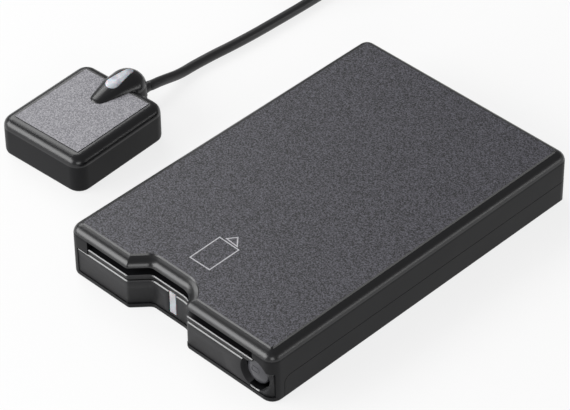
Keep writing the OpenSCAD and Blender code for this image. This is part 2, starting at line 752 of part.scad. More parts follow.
module power_pins() color("#cfd0d2") for (i = [0:pin_columns - 1], j = [0, 1]) {
    box([power_pin_x(i) - pin_w / 2, socket_back - header_l - pin_rise, power_pin_z(j) - pin_w / 2],
        [power_pin_x(i) + pin_w / 2, socket_back - socket_depth + pin_out, power_pin_z(j) + pin_w / 2]);
    box([power_pin_x(i) - pin_w / 2, socket_back - header_l - pin_rise - j * pin_rise, board_top],
        [power_pin_x(i) + pin_w / 2, socket_back - header_l - pin_rise - j * pin_rise + pin_w, power_pin_z(j) + pin_w / 2]);
}

jack_post_r = 0.5;

module antenna_jack() color("#3c5f9b") difference() {
    socket(jack_x, jack_w, jack_h, socket_wall);
    translate([jack_x, socket_back - header_l - cut, header_z + jack_h / 2]) rotate([-90, 0, 0])
        cylinder(r = jack_post_r + snug, h = header_l, $fn = coarse);
}

module jack_pin() color("#d8b45a") {
    translate([jack_x, socket_back - header_l - jack_post_r, header_z + jack_h / 2]) rotate([-90, 0, 0])
        cylinder(r = jack_post_r, h = jack_post_r + header_l - socket_depth + pin_out, $fn = coarse);
    box([jack_x - jack_post_r, socket_back - header_l - 2 * jack_post_r, board_top],
        [jack_x + jack_post_r, socket_back - header_l, header_z + jack_h / 2 + jack_post_r]);
}

// Screws of the main unit
small_head_r = 1.5;
small_head_h = 0.9;
small_screw_l = 4.5;
guide_head_h = 0.7;

module case_screws() color("#8d8f93") for (s = [-1, 1])
    translate([s * case_boss_x, case_boss_y, case_head_z])
        screw(case_head_r, case_head_h, case_screw_r, case_screw_l);

module board_screws() color("#b9bcc0") for (p = board_places)
    translate([p[0], front + p[1], board_top + small_head_h]) rotate([180, 0, 0])
        screw(small_head_r, small_head_h, board_screw_r, board_top + small_head_h - base_round - rest_gap);

module guide_screws() color("#b9bcc0") for (p = leg_places)
    translate([p[0], front + p[1], board_z - guide_head_h])
        screw(small_head_r, guide_head_h, guide_screw_r, small_screw_l);

// Antenna box, drawn about the middle of its underside
ant_base_round = 1;
ant_side = ant_w / 2;
ant_back = ant_d / 2;
ant_ceiling = ant_h - 1.3;
ant_panel_raise = 0.15;
ant_panel_inset = 3.1;
boss_tip = 3.9;
boss_tip_r = 2.4;
boss_tip_h = 1.1;
boss_mid_h = 2.4;
boss_end = 5.4;
boss_y = ant_back + boss_end - boss_r;
boss_mid_y = ant_back - 3.6;
boss_mid_r = 3.9;
boss_top = ant_h + boss_rise;
boss_lump_r = 4.4;
ant_floor_t = 1.2;
ant_board_z = 2.3;
ant_board_t = 0.8;
ant_board_top = ant_board_z + ant_board_t;
ant_play = 0.15;
ant_inner_r = 2;
lens_r = 1.9;
lens_front = boss_tip + 5.4;
lens_l = 9;
lens_low = ant_ceiling + 0.6;
lens_gap = 0.08;
lens_proud = 0.12;
stem_r = 0.9;
stem_y = ant_back - 4.4;
lamp_h = 0.9;
patch_w = 18;
patch_h = 4;
patch_y = -2;
electrode_w = 14;
electrode_t = 0.1;
feed_r = 0.45;
feed_head_r = 0.9;
feed_y = patch_y - 2.5;
ant_can_w = 17;
ant_can_h = 0.85;
base_screw_x = ant_side - ant_wall - 1.9;
base_screw_y = ant_back - ant_wall - 1.9;
base_boss_r = 1.7;
base_screw_r = 0.6;
base_head_r = 1.2;
base_head_h = 0.6;
base_screw_l = 5;
cable_r = cable_d / 2;
grommet_r = cable_r + 0.9;
grommet_l = 4.4;

module at_antenna() translate([-ant_x, -ant_y, 0]) rotate(ant_turn) children();

function ant_outline(d) = [for (q = [[-1, -1], [1, -1], [1, 1], [-1, 1]])
    each corner(q[0], q[1], ant_side - d, ant_back - d, max(ant_corner_r - d, least_r), corner_steps)];

module ant_box() loft(concat(
    [for (q = arc([ant_base_round, ant_base_round], ant_base_round, 270, 180, base_steps))
        [ant_outline(q[0]), q[1]]],
    [for (q = arc([ant_round, ant_h - ant_round], ant_round, 180, 90, edge_steps)) [ant_outline(q[0]), q[1]]]));

module boss(grow = 0) hull() {
    translate([0, boss_tip + boss_tip_r, ant_h - seam]) scale([boss_tip_r + grow, boss_tip_r + grow, boss_tip_h + grow])
        sphere(1, $fn = soft);
    translate([0, boss_mid_y, ant_h]) scale([boss_mid_r + grow, boss_mid_r + grow, boss_mid_h + grow])
        sphere(1, $fn = soft);
    translate([0, boss_y, boss_top - boss_lump_r]) scale([boss_r + grow, boss_r + grow, boss_lump_r + grow])
        sphere(1, $fn = soft);
    translate([0, boss_y, 0]) cylinder(r = boss_r + grow, h = cable_exit_z, $fn = soft);
}

module lens_plan(grow) hull() {
    translate([0, lens_front + lens_r]) circle(lens_r + grow, $fn = soft);
    translate([0, lens_front + lens_l - lens_r / 2]) circle(lens_r / 2 + grow, $fn = soft);
}

module along_y(y0, y1, z, r, facets = fine) translate([0, y0, z]) rotate([-90, 0, 0])
    cylinder(r = r, h = y1 - y0, $fn = facets);

module antenna_cover() color("#2b2b2e") at_antenna() {
    difference() {
        union() {
            ant_box();
            slab(ant_h - touch, ant_panel_raise + touch)
                square([ant_w - 2 * ant_panel_inset, ant_d - 2 * ant_panel_inset], center = true);
            boss();
        }
        slab(-cut, ant_ceiling + cut) rounded_plan(ant_w - 2 * ant_wall, ant_d - 2 * ant_wall, ant_inner_r);
        along_y(ant_back - 2 * ant_wall, ant_back + boss_end + cut, cable_exit_z, grommet_r + seam);
        slab(lens_low - seam, body_h) lens_plan(lens_gap);
        translate([0, stem_y, ant_board_top]) cylinder(r = stem_r + lens_gap, h = body_h, $fn = coarse);
    }
    for (s = [-1, 1]) difference() {
        translate([s * base_screw_x, -s * base_screw_y, ant_floor_t + seam])
            cylinder(r = base_boss_r, h = ant_ceiling - ant_floor_t, $fn = fine);
        translate([s * base_screw_x, -s * base_screw_y, 0])
            cylinder(r = base_screw_r + snug, h = base_head_h + base_screw_l + cut, $fn = fine);
    }
}

module antenna_base() color("#1d1d20") at_antenna() difference() {
    union() {
        slab(0, ant_floor_t)
            rounded_plan(ant_w - 2 * (ant_wall + ant_play), ant_d - 2 * (ant_wall + ant_play), ant_inner_r);
        for (x = [-1, 1], y = [-1, 1])
            translate([x * (ant_board_w / 2 - wall), y * board_foot_y, ant_floor_t - touch])
                cylinder(r = wall / 2, h = ant_board_z - ant_floor_t + touch, $fn = coarse);
    }
    for (s = [-1, 1]) translate([s * base_screw_x, -s * base_screw_y, -cut]) {
        cylinder(r = base_head_r + 2 * snug, h = base_head_h + cut, $fn = fine);
        cylinder(r = base_screw_r + 2 * snug, h = ant_floor_t + 2 * cut, $fn = fine);
    }
}

ant_board_w = ant_w - 2 * ant_wall - 1;
ant_board_l = ant_d - 2 * ant_wall - 1;
board_foot_y = ant_board_l / 2 - 6;

module base_screws() color("#8d8f93") at_antenna() for (s = [-1, 1])
    translate([s * base_screw_x, -s * base_screw_y, 0]) screw(base_head_r, base_head_h, base_screw_r, base_screw_l);

module antenna_board() color("#1f5a3c") at_antenna() difference() {
    slab(ant_board_z, ant_board_t) rounded_plan(ant_board_w, ant_board_l, ant_inner_r);
    for (s = [-1, 1]) translate([s * base_screw_x, -s * base_screw_y, 0])
        cylinder(r = base_boss_r + ant_play, h = body_h, $fn = fine);
    translate([0, feed_y, 0]) cylinder(r = feed_r + snug, h = body_h, $fn = coarse);
}

module patch_element() color("#c9b79a") at_antenna() difference() {
    translate([0, patch_y, ant_board_top]) linear_extrude(patch_h) square(patch_w, center = true);
    translate([0, feed_y, 0]) cylinder(r = feed_r + snug, h = body_h, $fn = coarse);
}

module patch_electrode() color("#cfd0d2") at_antenna() difference() {
    translate([0, patch_y, ant_board_top + patch_h]) linear_extrude(electrode_t)
        square(electrode_w, center = true);
    translate([0, feed_y, 0]) cylinder(r = feed_r + snug, h = body_h, $fn = coarse);
}

module feed_pin() color("#d8b45a") at_antenna() translate([0, feed_y, ant_board_z]) {
    cylinder(r = feed_r, h = ant_board_t + patch_h + electrode_t + touch, $fn = coarse);
    translate([0, 0, ant_board_t + patch_h + electrode_t])
        cylinder(r1 = feed_head_r, r2 = feed_r, h = feed_r, $fn = coarse);
}

module antenna_shield() color("#c4c6c9") at_antenna()
    slab(ant_board_z - ant_can_h, ant_can_h) translate([0, patch_y]) square([ant_can_w, ant_can_w], center = true);

module antenna_lamp() color("#f2efe2") at_antenna()
    slab(ant_board_top, lamp_h) translate([0, stem_y]) square(led_w, center = true);

module indicator_lens() color("#a8adb6") at_antenna() {
    intersection() {
        boss(lens_proud);
        slab(lens_low, body_h) lens_plan(0);
    }
    slab(ant_board_top + lamp_h + rest_gap, lens_low - ant_board_top - lamp_h) translate([0, stem_y])
        circle(stem_r, $fn = coarse);
}

module cable_grommet() color("#161618") at_antenna() difference() {
    along_y(ant_back + boss_end - grommet_l, ant_back + boss_end, cable_exit_z, grommet_r);
    along_y(ant_back, ant_back + boss_end + cut, cable_exit_z, cable_r + snug);
}

core_r = 0.4;

module coax_lead() color("#1a1a1c") at_antenna() {
    along_y(ant_board_l / 2 + ant_play, ant_back + boss_end, cable_exit_z, cable_r);
    along_y(ant_board_l / 2 - 2 * core_r, ant_board_l / 2 + ant_play + touch, cable_exit_z, core_r, coarse);
    translate([0, ant_board_l / 2 - 2 * core_r, ant_board_top])
        cylinder(r = core_r, h = cable_exit_z - ant_board_top, $fn = coarse);
}

// Cable route on the floor, then the coil and the tail to the plug
exit_point = [-ant_x - (ant_back + boss_end) * sin(ant_turn), -ant_y + (ant_back + boss_end) * cos(ant_turn),
    cable_exit_z];
plug_fit = 0.15;
tie_t = 0.6;
tie_gap = 0.15;
coil_x = -98.9;
coil_y = 94;
coil_z = cable_r + tie_t + tie_gap;
coil_outer_r = coil_inner_r + coil_turns * coil_pitch;
coil_bulge = 0.7;
coil_steps = 20;
half = 0.5;
coil_total = 4 * coil_turns + 3 * half;
coil_lead = cable_d;

// Points of the straight stretch, chosen by hand
cable_route = [[-68.55, 8, 4.15], [-68.55, 11, 3.7], [-68.65, 14, 3], [-68.85, 17, 2.2], [-69.1, 20, 1.65],
    [-69.15, 24, 1.5], [-68.75, 30, 1.5], [-68.05, 37, 1.5], [-67.55, 44, 1.5], [-67.3, 51, 1.5], [-67.1, 58, 1.5],
    [-67, 65, 1.5], [-67, 72, 1.5], [-67.1, 79, 1.6], [-67.25, 85, 1.9]];
tail_route = [[-130.5, 81, 11.2], [-130.5, 75, 9.2], [-130.4, 69, 6.2], [-130.2, 63, 3.4], [-130, 57.5, 1.8],
    [-129.7, 52.5, 1.6], [-129.4, 49, 1.9]];

// Radius and height along the coil, in turns: in, up, out, up, in, up, out
function coil_leg(t) = floor((t + 0.0001) / (coil_turns + half));
function coil_at(t) =
    let (leg = min(coil_leg(t), 3), u = t - leg * (coil_turns + half), inward = leg % 2 == 0,
        a = min(u / coil_turns, 1), rise = max(u - coil_turns, 0) / half,
        from = inward ? coil_outer_r : coil_inner_r, to = inward ? coil_inner_r : coil_outer_r)
    [from + (to - from) * a + (inward ? -1 : 1) * coil_bulge * sin(180 * rise),
        coil_z + coil_pitch * (leg + (1 - cos(180 * rise)) / 2)];
function coil_point(t) = let (c = coil_at(t)) [coil_x + c[0] * cos(360 * t), coil_y + c[0] * sin(360 * t), c[1]];

coil_path = concat([coil_point(0) - [0, coil_lead, 0]],
    [for (i = [0:coil_steps * coil_total]) coil_point(i / coil_steps)],
    [coil_point(coil_total) + coil_lead * [-sin(360 * coil_total), cos(360 * coil_total), 0]]);

// Least gap of the coil to itself, between points over half a turn apart
coil_gap = min([for (i = [0:3:len(coil_path) - 1]) for (j = [i + coil_steps / 2:1:min(i + 3 * coil_steps, len(coil_path) - 1)])
    norm(coil_path[i] - coil_path[j])]) - cable_d;
coil_across = min([for (i = [0:5:len(coil_path) - 1]) for (j = [i + 3 * coil_steps:2:len(coil_path) - 1])
    norm(coil_path[i] - coil_path[j])]) - cable_d;
echo(coil_gap = coil_gap, coil_across = coil_across);

function path_length(p) = [for (i = [1:len(p) - 1]) 1] * [for (i = [1:len(p) - 1]) norm(p[i] - p[i - 1])];

cable_path = concat([exit_point, exit_point + cable_d * [-sin(ant_turn), cos(ant_turn), 0]], cable_route,
    [coil_path[0] - [0, coil_lead, 0], coil_path[0]]);
coil_last = coil_path[len(coil_path) - 1];
coil_end_dir = unit(coil_last - coil_path[len(coil_path) - 2]);
tail_end = tail_route[len(tail_route) - 1];
tail_dir = unit(tail_end - tail_route[len(tail_route) - 2]);
tail_turn = atan2(tail_dir[1], tail_dir[0]);
plug_mid_z = jack_h / 2 - socket_wall - plug_fit;
plug_start = [tail_end[0] + 2 * cable_d * cos(tail_turn), tail_end[1] + 2 * cable_d * sin(tail_turn), plug_mid_z];
tail_path = concat([coil_last, coil_last + coil_lead * coil_end_dir], tail_route,
    [plug_start - cable_d * [cos(tail_turn), sin(tail_turn), 0], plug_start]);
echo(cable_length = path_length(cable_path) + path_length(coil_path) + path_length(tail_path));

module antenna_cable() color("#1a1a1c") tube(cable_path, cable_r, 8);

module cable_coil() color("#1a1a1c") tube(coil_path, cable_r, 6);

module cable_tail() color("#1a1a1c") tube(tail_path, cable_r, 8);

tie_w = 4;
tie_angle = 115;
tie_in = coil_inner_r - coil_bulge - cable_r - tie_gap;
tie_out = coil_outer_r + coil_bulge + cable_r + tie_gap;
tie_top = coil_z + 3 * coil_pitch + cable_r + tie_gap;

module coil_tie() color("#2a2a2d") translate([coil_x, coil_y, 0]) rotate(tie_angle) difference() {
    box([tie_in - tie_t, -tie_w / 2, 0], [tie_out + tie_t, tie_w / 2, tie_top + tie_t]);
    box([tie_in, -tie_w, tie_t], [tie_out, tie_w, tie_top]);
}

// Plug that fits the antenna jack
plug_w = jack_w - 2 * socket_wall - 2 * plug_fit;
plug_h = 2 * plug_mid_z;
plug_l = 12;
boot_l = 9;
boot_r = 2.2;
latch_t = 0.5;
latch_w = 3;
latch_l = 7;

module at_plug() translate([plug_start[0], plug_start[1], plug_start[2]]) rotate(tail_turn) children();

module plug_boot() color("#161618") at_plug() rotate([0, 90, 0])
    cylinder(r1 = cable_r, r2 = boot_r, h = boot_l, $fn = fine);

module antenna_plug() color("#3c5f9b") at_plug() difference() {
    union() {
        box([boot_l, -plug_w / 2, -plug_mid_z], [boot_l + plug_l, plug_w / 2, plug_mid_z]);
        box([boot_l + plug_l - latch_l, -latch_w / 2, plug_mid_z - touch],
            [boot_l + plug_l, latch_w / 2, plug_mid_z + latch_t]);
    }
    translate([boot_l + wall, 0, 0]) rotate([0, 90, 0])
        cylinder(r = 2 * jack_post_r + snug, h = plug_l, $fn = fine);
}

module plug_contact() color("#d8b45a") at_plug() translate([boot_l + wall, 0, 0])
    rotate([0, 90, 0]) difference() {
        cylinder(r = 2 * jack_post_r, h = plug_l - 2 * wall, $fn = fine);
        translate([0, 0, wall]) cylinder(r = jack_post_r + run_fit, h = plug_l, $fn = coarse);
    }

top_cover();
bottom_cover();
front_panel();
light_pipe();
eject_button();
button_spring();
eject_lever();
lever_pivot();
card_pusher();
card_guide();
contact_block();
card_contacts();
card_switch();
main_board();
shield_can();
processor_chips();
capacitors();
speaker();
status_led();
power_header();
power_pins();
antenna_jack();
jack_pin();
case_screws();
board_screws();
guide_screws();
antenna_cover();
antenna_base();
base_screws();
antenna_board();
patch_element();
patch_electrode();
feed_pin();
antenna_shield();
antenna_lamp();
indicator_lens();
cable_grommet();
coax_lead();
antenna_cable();
cable_coil();
coil_tie();
cable_tail();
antenna_plug();
plug_boot();
plug_contact();
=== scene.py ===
import bpy
import bmesh
import math
from mathutils import Matrix, Vector
from mathutils.bvhtree import BVHTree


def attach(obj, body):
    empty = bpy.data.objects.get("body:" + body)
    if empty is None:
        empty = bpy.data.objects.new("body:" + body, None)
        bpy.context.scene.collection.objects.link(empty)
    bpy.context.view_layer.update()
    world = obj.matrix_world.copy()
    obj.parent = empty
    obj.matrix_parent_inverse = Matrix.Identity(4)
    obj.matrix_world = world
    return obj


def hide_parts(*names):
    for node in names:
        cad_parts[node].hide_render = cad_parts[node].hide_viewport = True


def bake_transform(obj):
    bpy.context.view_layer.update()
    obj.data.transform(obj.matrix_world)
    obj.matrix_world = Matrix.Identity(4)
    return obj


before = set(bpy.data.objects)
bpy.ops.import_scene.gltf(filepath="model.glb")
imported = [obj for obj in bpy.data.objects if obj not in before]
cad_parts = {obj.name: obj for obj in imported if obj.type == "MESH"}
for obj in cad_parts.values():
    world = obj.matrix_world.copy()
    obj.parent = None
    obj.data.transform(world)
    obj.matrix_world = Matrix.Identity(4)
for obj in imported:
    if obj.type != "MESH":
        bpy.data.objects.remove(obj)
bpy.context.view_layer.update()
mm = 0.001  # everything below is worked out in millimetres
print("frame loaded:", len(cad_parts), "nodes")


# small helpers

def hexToLinear(code, alpha=1.0):
    # an sRGB hex colour as the linear one that a shader takes
    channels = [int(code[i:i + 2], 16) / 255 for i in (1, 3, 5)]
    return tuple(c / 12.92 if c <= 0.04045 else ((c + 0.055) / 1.055) ** 2.4 for c in channels) + (alpha,)


def addNode(tree, kind, settings=None, links=None):
    # one node: settings are attributes or socket values, links are {socket: (node, output)}
    node = tree.nodes.new(kind)
    for key, value in (settings or {}).items():
        if isinstance(key, str) and hasattr(node, key):
            setattr(node, key, value)
        else:
            node.inputs[key].default_value = value
    for key, (source, output) in (links or {}).items():
        tree.links.new(source.outputs[output], node.inputs[key])
    return node


def linkObject(name, mesh):
    piece = bpy.data.objects.new(name, mesh)
    bpy.context.scene.collection.objects.link(piece)
    return piece


def meshFrom(name, points, faces):
    mesh = bpy.data.meshes.new(name)
    mesh.from_pydata([tuple(p) for p in points], [], faces)
    mesh.validate()
    return mesh


def aim(thing, place, target):
    thing.location = place
    direction = Vector(target) - Vector(place)
    thing.rotation_euler = direction.to_track_quat("-Z", "Y").to_euler()


# camera: the photograph's own, solved from the unit's straight edges

cameraSet = dict(azimuth=44.99, elevation=40.08, distance=748.6, targetX=-14.07, targetY=1.35, roll=-0.69,
                 focalPixels=3048.75, imageWidth=570, sensor=36.0, nearClip=0.05, farClip=20)


def makeCamera(c):
    az, el, roll = (math.radians(c[k]) for k in ("azimuth", "elevation", "roll"))
    back = Vector((math.sin(az) * math.cos(el), -math.cos(az) * math.cos(el), math.sin(el)))
    right = (-back).cross(Vector((0, 0, 1))).normalized()
    up = right.cross(-back)
    rightR = right * math.cos(roll) + up * math.sin(roll)
    upR = up * math.cos(roll) - right * math.sin(roll)
    data = bpy.data.cameras.new("photoCamera")
    data.sensor_width = c["sensor"]
    data.lens = c["focalPixels"] / c["imageWidth"] * c["sensor"]
    data.clip_start, data.clip_end = c["nearClip"], c["farClip"]
    cam = bpy.data.objects.new("photoCamera", data)
    bpy.context.scene.collection.objects.link(cam)
    place = Vector((c["targetX"], c["targetY"], 0)) * mm + back * c["distance"] * mm
    turn = Matrix((rightR, upR, back)).transposed().to_4x4()
    cam.matrix_world = Matrix.Translation(place) @ turn
    bpy.context.scene.camera = cam


makeCamera(cameraSet)
bpy.context.scene.view_settings.view_transform = "Standard"
print("camera made")


# the antenna's cable, from the boss to its plug

cable = dict(
    diameter=2.7, exit=(-68.607, 4.621, 4.2), exitDirection=(-0.05234, 0.99863, 0.0),
    route=[(-68.55, 8, 4.15), (-68.55, 11, 3.7), (-68.65, 14, 3), (-68.85, 17, 2.2), (-69.1, 20, 1.65),
           (-69.15, 24, 1.5), (-68.75, 30, 1.5), (-68.05, 37, 1.5), (-67.55, 44, 1.5), (-67.3, 51, 1.5),
           (-67.1, 58, 1.5), (-67, 65, 1.5), (-67, 72, 1.5), (-67.1, 79, 1.6), (-67.25, 85, 1.9)],
    tail=[(-130.5, 81, 11.2), (-130.5, 75, 9.2), (-130.4, 69, 6.2), (-130.2, 63, 3.4), (-130, 57.5, 1.8),
          (-129.7, 52.5, 1.6), (-129.4, 49, 1.9)],
    plugMiddle=2.35, coilX=-98.9, coilY=94.0, coilZ=2.1, turns=5.5, layers=4, turnBack=0.5, innerRadius=14.0,
    pitch=3.2, bulge=0.7, nudge=0.0001, sides=14, stepsPerTurn=40, stepsPerPoint=4)


def coilPoint(c, t):
    # flat spirals on each other, climbing a layer in the half turn where the spiral reverses
    perLayer = c["turns"] + c["turnBack"]
    leg = min(int((t + c["nudge"]) // perLayer), c["layers"] - 1)
    u = t - leg * perLayer
    inward = leg % 2 == 0
    outer = c["innerRadius"] + c["turns"] * c["pitch"]
    start, end = (outer, c["innerRadius"]) if inward else (c["innerRadius"], outer)
    rise = max(u - c["turns"], 0) / c["turnBack"]
    radius = start + (end - start) * min(u / c["turns"], 1)
    radius += (-1 if inward else 1) * c["bulge"] * math.sin(math.pi * rise)
    height = c["coilZ"] + c["pitch"] * (leg + (1 - math.cos(math.pi * rise)) / 2)
    turn = 2 * math.pi * t
    return Vector((c["coilX"] + radius * math.cos(turn), c["coilY"] + radius * math.sin(turn), height))


def smoothThrough(points, steps):
    # a curve through given points; its direction at each follows the points on either side
    out = []
    for i in range(len(points) - 1):
        a = points[max(i - 1, 0)]
        b, d = points[i], points[i + 1]
        e = points[min(i + 2, len(points) - 1)]
        for k in range(steps):
            t = k / steps
            out.append(0.5 * ((2 * b) + (d - a) * t + (2 * a - 5 * b + 4 * d - e) * t * t
                              + (3 * b - a - 3 * d + e) * t * t * t))
    return out + [points[-1]]


def cablePath(c):
    # the whole route: down from the boss, through the coil's turns, and out of it to the plug
    total = c["layers"] * (c["turns"] + c["turnBack"]) - c["turnBack"]
    coil = [coilPoint(c, i / c["stepsPerTurn"]) for i in range(int(c["stepsPerTurn"] * total) + 1)]
    start, way = Vector(c["exit"]), Vector(c["exitDirection"])
    lead = c["diameter"]
    first = [start, start + lead * way] + [Vector(p) for p in c["route"]]
    first += [coil[0] - Vector((0, 2 * lead, 0)), coil[0] - Vector((0, lead, 0))]
    down = Vector((0, -1, 0))
    tail = [Vector(p) for p in c["tail"]]
    way = tail[-1] - tail[-2]
    way.z = 0
    way.normalize()
    plugAt = tail[-1] + 2 * lead * way
    plugAt.z = c["plugMiddle"]
    last = [coil[-1] + lead * down] + tail + [plugAt - lead * way, plugAt]
    path = smoothThrough(first, c["stepsPerPoint"]) + coil + smoothThrough(last, c["stepsPerPoint"])
    return [p * mm for p in path], plugAt * mm, way


def tubeMesh(name, path, radius, sides):
    # a round tube along the path, turned no more than the path itself turns
    points, faces = [], []
    normal = Vector((0, 0, 1))
    for i, p in enumerate(path):
        along = (path[min(i + 1, len(path) - 1)] - path[max(i - 1, 0)]).normalized()
        normal = (normal - along * normal.dot(along)).normalized()
        side = along.cross(normal)
        for k in range(sides):
            a = 2 * math.pi * k / sides
            points.append(p + radius * (math.cos(a) * normal + math.sin(a) * side))
    for i in range(len(path) - 1):
        for k in range(sides):
            a, b = i * sides + k, i * sides + (k + 1) % sides
            faces.append((a, b, b + sides, a + sides))
    faces.append(tuple(range(sides))[::-1])
    faces.append(tuple(range((len(path) - 1) * sides, len(path) * sides)))
    mesh = meshFrom(name, points, faces)
    for poly in mesh.polygons:
        poly.use_smooth = len(poly.vertices) == 4
    uv = mesh.uv_layers.new(name="length")  # along and around the jacket, in millimetres
    walked = [0.0]
    for a, b in zip(path, path[1:]):
        walked.append(walked[-1] + (b - a).length / mm)
    for poly in mesh.polygons:
        if len(poly.vertices) != 4:
            continue
        columns = {v % sides for v in poly.vertices}
        wraps = sides - 1 in columns and 0 in columns  # the last column of faces, back at the first points
        for loop in poly.loop_indices:
            v = mesh.loops[loop].vertex_index
            around = v % sides
            if wraps and around == 0:
                around = sides
            uv.data[loop].uv = (walked[v // sides], around / sides)
    return mesh


cablePoints, plugPlace, plugWay = cablePath(cable)
cableTube = tubeMesh("antennaCable", cablePoints, cable["diameter"] / 2 * mm, cable["sides"])
cablePiece = linkObject("antennaCable", cableTube)
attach(cablePiece, "unit")
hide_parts("antenna_cable", "cable_coil", "cable_tail")


# floor, lamps and world

studio = dict(
    floorSize=6.0, floorDrop=0.02, floorColor="#f4f4f4", floorGlow=0.8, glowColor="#ffffff",
    worldColor="#ffffff", worldStrength=0.28, middle=(-0.01, -0.01, 0.01),
    lamps=[
        # name, direction from the object, distance, size, watts; each is what one surface shows by reflection
        ("topSoftbox", (-0.72, 0.22, 0.64), 1.1, (0.7, 0.5), 5.0),
        ("frontSoftbox", (-0.56, -0.78, 0.40), 0.9, (0.9, 0.5), 9.0),
        ("cameraCard", (0.70, -0.62, 0.36), 0.9, (0.4, 0.3), 1.8),
        ("sideStrip", (0.828, 0.541, 0.22), 0.9, (0.6, 0.16), 1.0),
    ])


def makeStudio(s):
    half = s["floorSize"] / 2
    corners = [(-half, -half, 0), (half, -half, 0), (half, half, 0), (-half, half, 0)]
    floor = linkObject("studioFloor", meshFrom("studioFloor", corners, [(0, 1, 2, 3)]))
    floor.location.z = -s["floorDrop"] * mm  # just under the pieces, which would flicker on it
    # matt paper: takes the object's soft shadow and hides its own edge
    paper = bpy.data.materials.new("whitePaperSweep")
    paper.use_nodes = True
    tree = paper.node_tree
    tree.nodes.clear()
    rays = addNode(tree, "ShaderNodeLightPath")
    seen = addNode(tree, "ShaderNodeMath", {"operation": "MAXIMUM"},
                   {0: (rays, "Is Camera Ray"), 1: (rays, "Is Glossy Ray")})
    looked = addNode(tree, "ShaderNodeMath", {"operation": "MAXIMUM"},
                     {0: (seen, 0), 1: (rays, "Is Transmission Ray")})
    amount = addNode(tree, "ShaderNodeMath", {"operation": "MULTIPLY", 1: s["floorGlow"]}, {0: (looked, 0)})
    matt = addNode(tree, "ShaderNodeBsdfDiffuse", {"Color": hexToLinear(s["floorColor"])})
    glow = addNode(tree, "ShaderNodeEmission", {"Color": hexToLinear(s["glowColor"]), "Strength": 1.0})
    mix = addNode(tree, "ShaderNodeMixShader", {}, {0: (amount, 0), 1: (matt, 0), 2: (glow, 0)})
    addNode(tree, "ShaderNodeOutputMaterial", {}, {"Surface": (mix, 0)})
    floor.data.materials.append(paper)

    world = bpy.data.worlds.new("studioWorld")
    bpy.context.scene.world = world
    world.use_nodes = True
    tree = world.node_tree
    tree.nodes.clear()
    sky = addNode(tree, "ShaderNodeBackground",
                  {"Color": hexToLinear(s["worldColor"]), "Strength": s["worldStrength"]})
    addNode(tree, "ShaderNodeOutputWorld", {}, {"Surface": (sky, 0)})

    for name, way, distance, shape, power in s["lamps"]:
        data = bpy.data.lights.new(name, "AREA")
        data.shape = "RECTANGLE"
        data.size, data.size_y = shape
        data.energy = power
        lamp = bpy.data.objects.new(name, data)
        bpy.context.scene.collection.objects.link(lamp)
        middle = Vector(s["middle"])
        aim(lamp, middle + Vector(way).normalized() * distance, middle)


makeStudio(studio)
print("studio made")


# materials

finishes = {}


def startFinish(name, color, roughness, metallic=0.0, ior=1.5, shine=0.5):
    # one material with its shader, ready for its pattern
    mat = bpy.data.materials.new(name)
    mat.use_nodes = True
    tree = mat.node_tree
    tree.nodes.clear()
    shader = addNode(tree, "ShaderNodeBsdfPrincipled",
                     {"Base Color": hexToLinear(color), "Roughness": roughness, "Metallic": metallic})
    if metallic == 0:
        shader.inputs["IOR"].default_value = ior
        shader.inputs["Specular IOR Level"].default_value = shine
    addNode(tree, "ShaderNodeOutputMaterial", {}, {"Surface": (shader, 0)})
    mat.diffuse_color = hexToLinear(color)
    finishes[name] = mat
    return tree, shader


def perMetre(sizeMm):
    # a pattern whose features are this many millimetres across, as a texture scale
    return 1.0 / (sizeMm * mm)


def objectNoise(tree, coords, sizeMm, settings):
    # noise on the object itself, whose features are this many millimetres across
    return addNode(tree, "ShaderNodeTexNoise", {"Scale": perMetre(sizeMm), **settings},
                   {"Vector": (coords, "Object")})


def bumpFrom(tree, shader, source, strength, depthMm):
    bump = addNode(tree, "ShaderNodeBump", {"Strength": strength, "Distance": depthMm * mm},
                   {"Height": (source, "Fac")})
    tree.links.new(bump.outputs["Normal"], shader.inputs["Normal"])


def grainBump(tree, shader, coords, sizeMm, depthMm, strength=1.0, detail=3.0):
    # a shallow moulded or plated grain in the surface
    grain = objectNoise(tree, coords, sizeMm, {"Detail": detail})
    bumpFrom(tree, shader, grain, strength, depthMm)
    return grain


def speckle(tree, shader, source, dark, light, low=0.4, high=0.6):
    # the base colour goes from dark to light where the pattern goes from low to high
    ramp = addNode(tree, "ShaderNodeValToRGB", {}, {"Fac": (source, "Fac")})
    first, last = ramp.color_ramp.elements
    first.position, first.color = low, hexToLinear(dark)
    last.position, last.color = high, hexToLinear(light)
    tree.links.new(ramp.outputs["Color"], shader.inputs["Base Color"])
    return ramp


def roughnessFrom(tree, shader, source, low, high):
    spread = addNode(tree, "ShaderNodeMapRange", {"To Min": low, "To Max": high}, {"Value": (source, "Fac")})
    tree.links.new(spread.outputs["Result"], shader.inputs["Roughness"])


def sparkErodedAbs(name, dark, light, grainMm, roughness=0.45):
    # ABS from a spark-eroded mould: fine pits that glitter grey all over the flat top. Real pits are about
    # 0.1 mm across, too fine for this picture, so they are drawn about three and a half times as coarse
    tree, shader = startFinish(name, light, roughness, ior=1.53, shine=0.4)
    coords = addNode(tree, "ShaderNodeTexCoord")
    pits = objectNoise(tree, coords, grainMm, {"Detail": 2.5, "Roughness": 0.65})
    speckle(tree, shader, pits, dark, light, 0.4, 0.64)
    roughnessFrom(tree, shader, pits, roughness + 0.12, roughness - 0.1)
    bumpFrom(tree, shader, pits, 0.5, 0.05)


